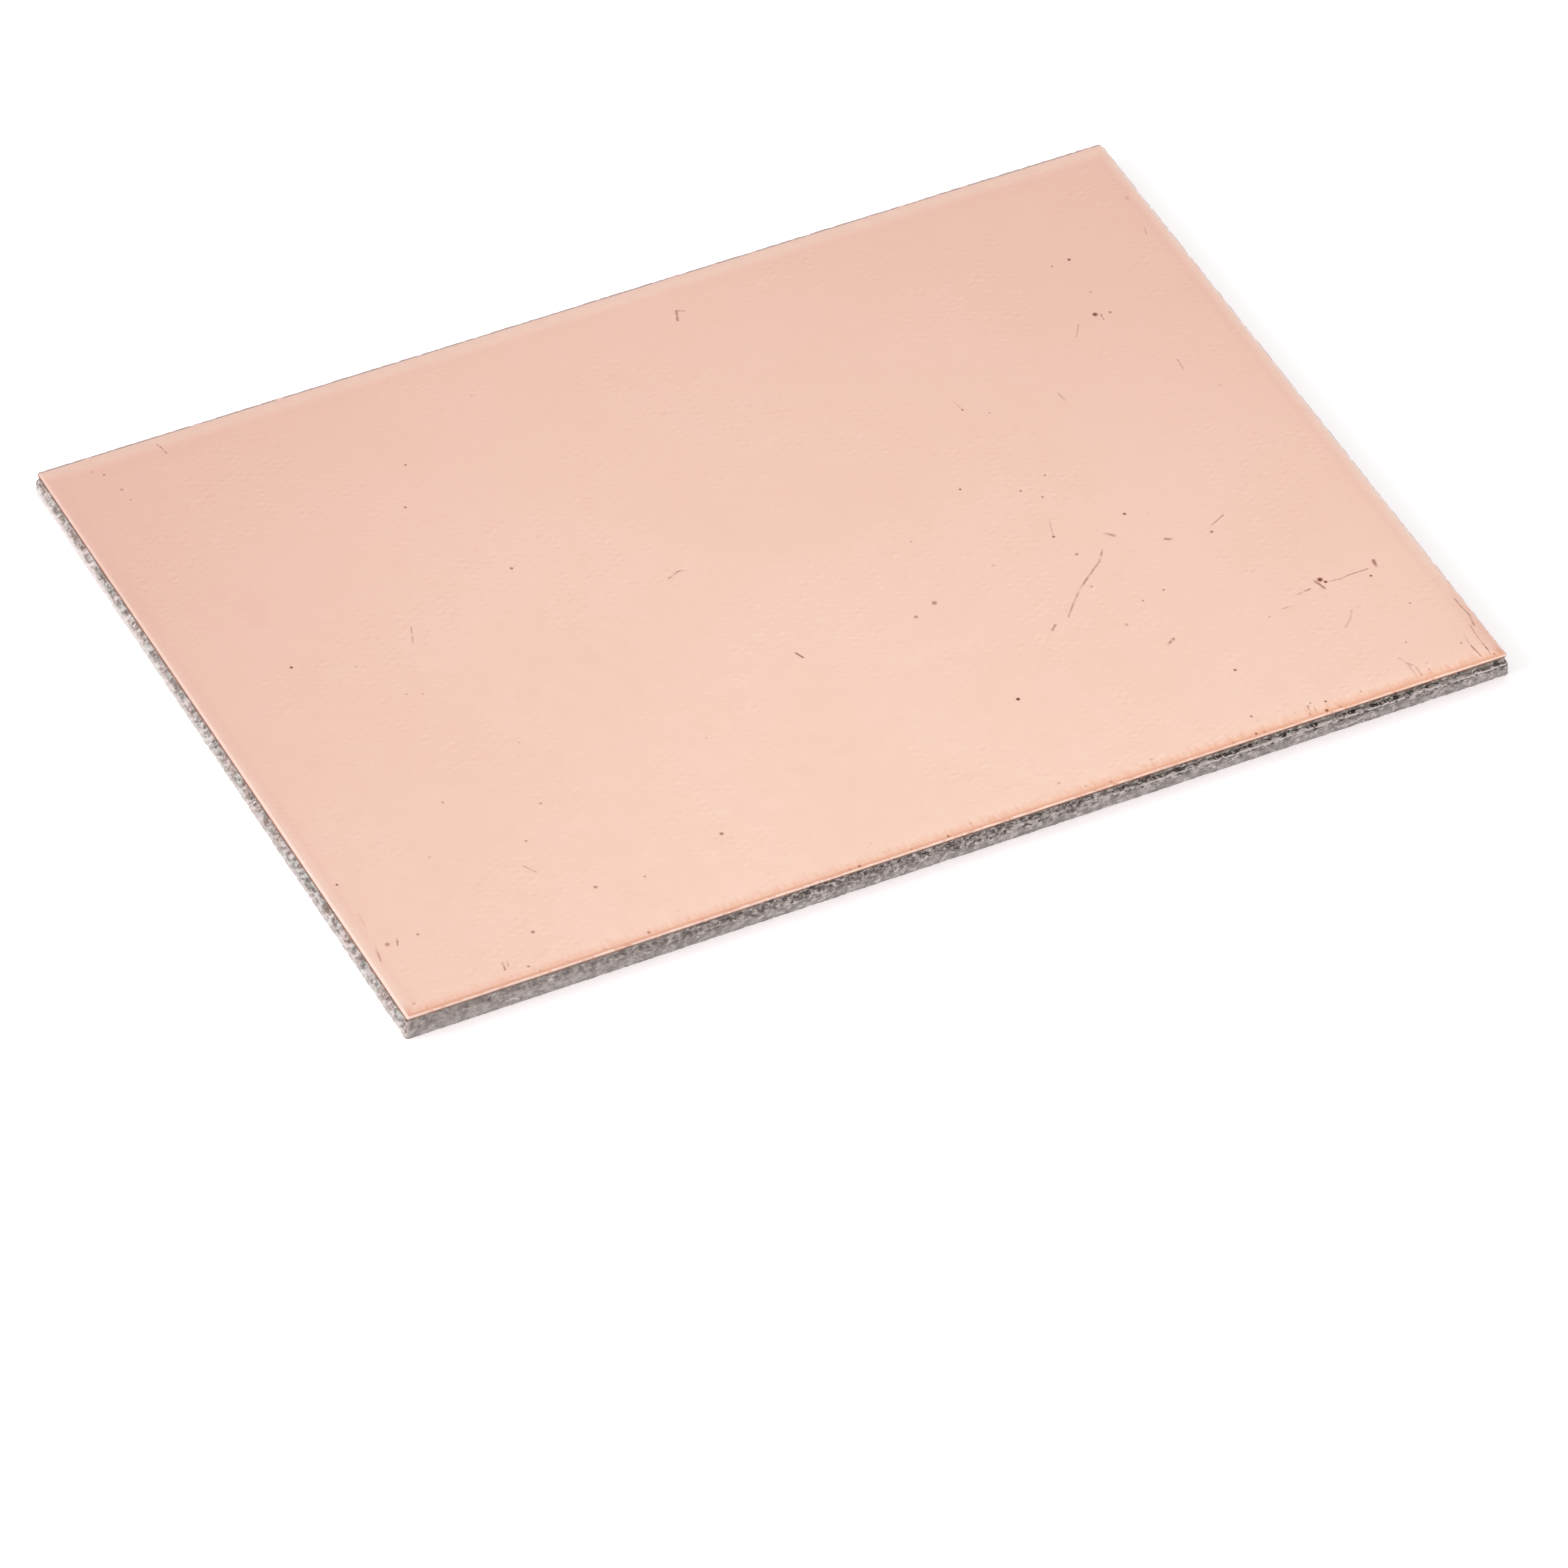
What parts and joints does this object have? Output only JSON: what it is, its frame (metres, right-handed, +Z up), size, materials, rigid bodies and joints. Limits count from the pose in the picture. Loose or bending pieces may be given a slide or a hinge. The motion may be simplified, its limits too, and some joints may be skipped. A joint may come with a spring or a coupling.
{
  "type": "copper clad board",
  "caption": "Flat rectangular glass-fibre laminate with copper foil bonded over its whole upper face and sheared edges, a blank to etch or mill into a printed circuit.",
  "frame": {"origin": "middle of the bare underside, on the surface the board lies on", "axes": "+X along the long sides, +Y along the short sides, +Z up out of the copper face"},
  "size_m": [0.07, 0.05, 0.0015],
  "materials": {
    "laminate": "matte",
    "copper": "satin"
  },
  "bodies": {
    "root": {"base_laminate": "laminate", "copper_foil": "copper"}
  },
  "joints": []
}
